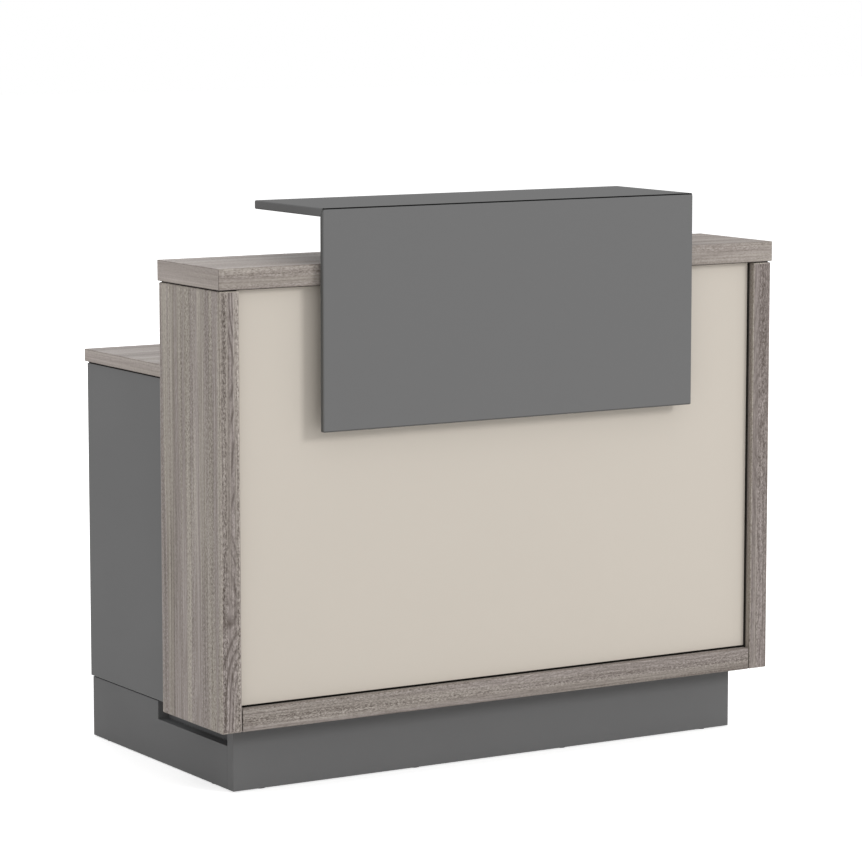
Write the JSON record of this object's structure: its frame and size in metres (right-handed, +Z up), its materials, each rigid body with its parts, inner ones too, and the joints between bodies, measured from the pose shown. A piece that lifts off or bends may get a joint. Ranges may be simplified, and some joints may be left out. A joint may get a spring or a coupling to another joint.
{
  "type": "reception desk",
  "caption": "Reception desk with a wood-look counter frame, cream front panel, grey raised overlay shelf, recessed plinth, rear worksurface and a lockable drawer pedestal.",
  "frame": {"origin": "on the floor, at the middle of the desk's outline", "axes": "+X along the width, to the right as a visitor sees it; +Y from the visitor's side to the user's side; +Z up"},
  "size_m": [1.2, 0.65, 1.05],
  "materials": {
    "laminate_wood": "warm grey ash laminate, matt, fine straight grain",
    "laminate_cream": "plain cream laminate, matt",
    "lacquer_grey": "mid grey lacquered board, satin",
    "gloss_grey": "mid grey lacquer, semi gloss",
    "black_board": "black melamine board, matt",
    "dowel_beech": "plain beech",
    "drawer_board": "pale grey melamine board, matt",
    "zinc_steel": "zinc plated steel",
    "satin_aluminium": "satin anodised",
    "black_plastic": "moulded, fine matt",
    "lock_chrome": "nickel plated"
  },
  "bodies": {
    "desk": {"counter_top": "laminate_wood", "post_left": "laminate_wood", "post_right": "laminate_wood", "bottom_board": "laminate_wood", "front_panel": "laminate_cream", "front_battens": "black_board", "back_panel": "lacquer_grey", "divider_left": "lacquer_grey", "divider_right": "lacquer_grey", "frame_dowels": "dowel_beech", "overlay_panel": "gloss_grey", "overlay_shelf": "gloss_grey", "overlay_standoffs": "satin_aluminium", "overlay_spacers": "satin_aluminium", "overlay_bolts": "zinc_steel", "worksurface": "laminate_wood", "gable_left": "lacquer_grey", "gable_right": "lacquer_grey", "pedestal_side": "lacquer_grey", "pedestal_bottom": "lacquer_grey", "lock_rail": "lacquer_grey", "brackets": "zinc_steel", "bracket_screws": "zinc_steel", "grommet_ring": "black_plastic", "plinth_front": "lacquer_grey", "plinth_side_left": "lacquer_grey", "plinth_side_right": "lacquer_grey", "plinth_core_left": "black_board", "plinth_core_right": "black_board", "plinth_cross": "black_board", "plinth_rear": "lacquer_grey", "glides": "black_plastic", "runners_outer": "zinc_steel"},
    "top_drawer": {"top_front": "lacquer_grey", "top_side_left": "drawer_board", "top_side_right": "drawer_board", "top_back": "drawer_board", "top_bottom": "drawer_board", "top_handle": "satin_aluminium", "top_runners": "zinc_steel", "lock_barrel": "lock_chrome"},
    "top_mid_rails": {"runners_mid_top": "zinc_steel"},
    "middle_drawer": {"middle_front": "lacquer_grey", "middle_side_left": "drawer_board", "middle_side_right": "drawer_board", "middle_back": "drawer_board", "middle_bottom": "drawer_board", "middle_handle": "satin_aluminium", "middle_runners": "zinc_steel"},
    "middle_mid_rails": {"runners_mid_middle": "zinc_steel"},
    "low_drawer": {"low_front": "lacquer_grey", "low_side_left": "drawer_board", "low_side_right": "drawer_board", "low_back": "drawer_board", "low_bottom": "drawer_board", "low_handle": "satin_aluminium", "low_runners": "zinc_steel"},
    "low_mid_rails": {"runners_mid_low": "zinc_steel"},
    "lock": {"lock_plug": "lock_chrome"},
    "cable_cap": {"grommet_cap": "black_plastic"}
  },
  "joints": [
    {"name": "top_drawer_slide", "type": "slide", "parent": "desk", "child": "top_drawer", "axis": [0, 1, 0], "range_m": [0, 0.3]},
    {"name": "top_mid_rail_slide", "type": "slide", "parent": "desk", "child": "top_mid_rails", "axis": [0, 1, 0], "range_m": [0, 0.15]},
    {"name": "middle_drawer_slide", "type": "slide", "parent": "desk", "child": "middle_drawer", "axis": [0, 1, 0], "range_m": [0, 0.3]},
    {"name": "middle_mid_rail_slide", "type": "slide", "parent": "desk", "child": "middle_mid_rails", "axis": [0, 1, 0], "range_m": [0, 0.15]},
    {"name": "low_drawer_slide", "type": "slide", "parent": "desk", "child": "low_drawer", "axis": [0, 1, 0], "range_m": [0, 0.3]},
    {"name": "low_mid_rail_slide", "type": "slide", "parent": "desk", "child": "low_mid_rails", "axis": [0, 1, 0], "range_m": [0, 0.15]},
    {"name": "lock_turn", "type": "hinge", "parent": "top_drawer", "child": "lock", "pos_m": [-0.204, 0.2905, 0.683], "axis": [0, 1, 0], "range_deg": [0, 90]},
    {"name": "cable_cap_turn", "type": "hinge", "parent": "desk", "child": "cable_cap", "pos_m": [0.3, -0.014, 0.75], "axis": [0, 0, 1], "continuous": true}
  ],
  "couplings": [
    {"joint": "top_mid_rail_slide", "follows": "top_drawer_slide", "ratio": 0.5},
    {"joint": "middle_mid_rail_slide", "follows": "middle_drawer_slide", "ratio": 0.5},
    {"joint": "low_mid_rail_slide", "follows": "low_drawer_slide", "ratio": 0.5}
  ]
}
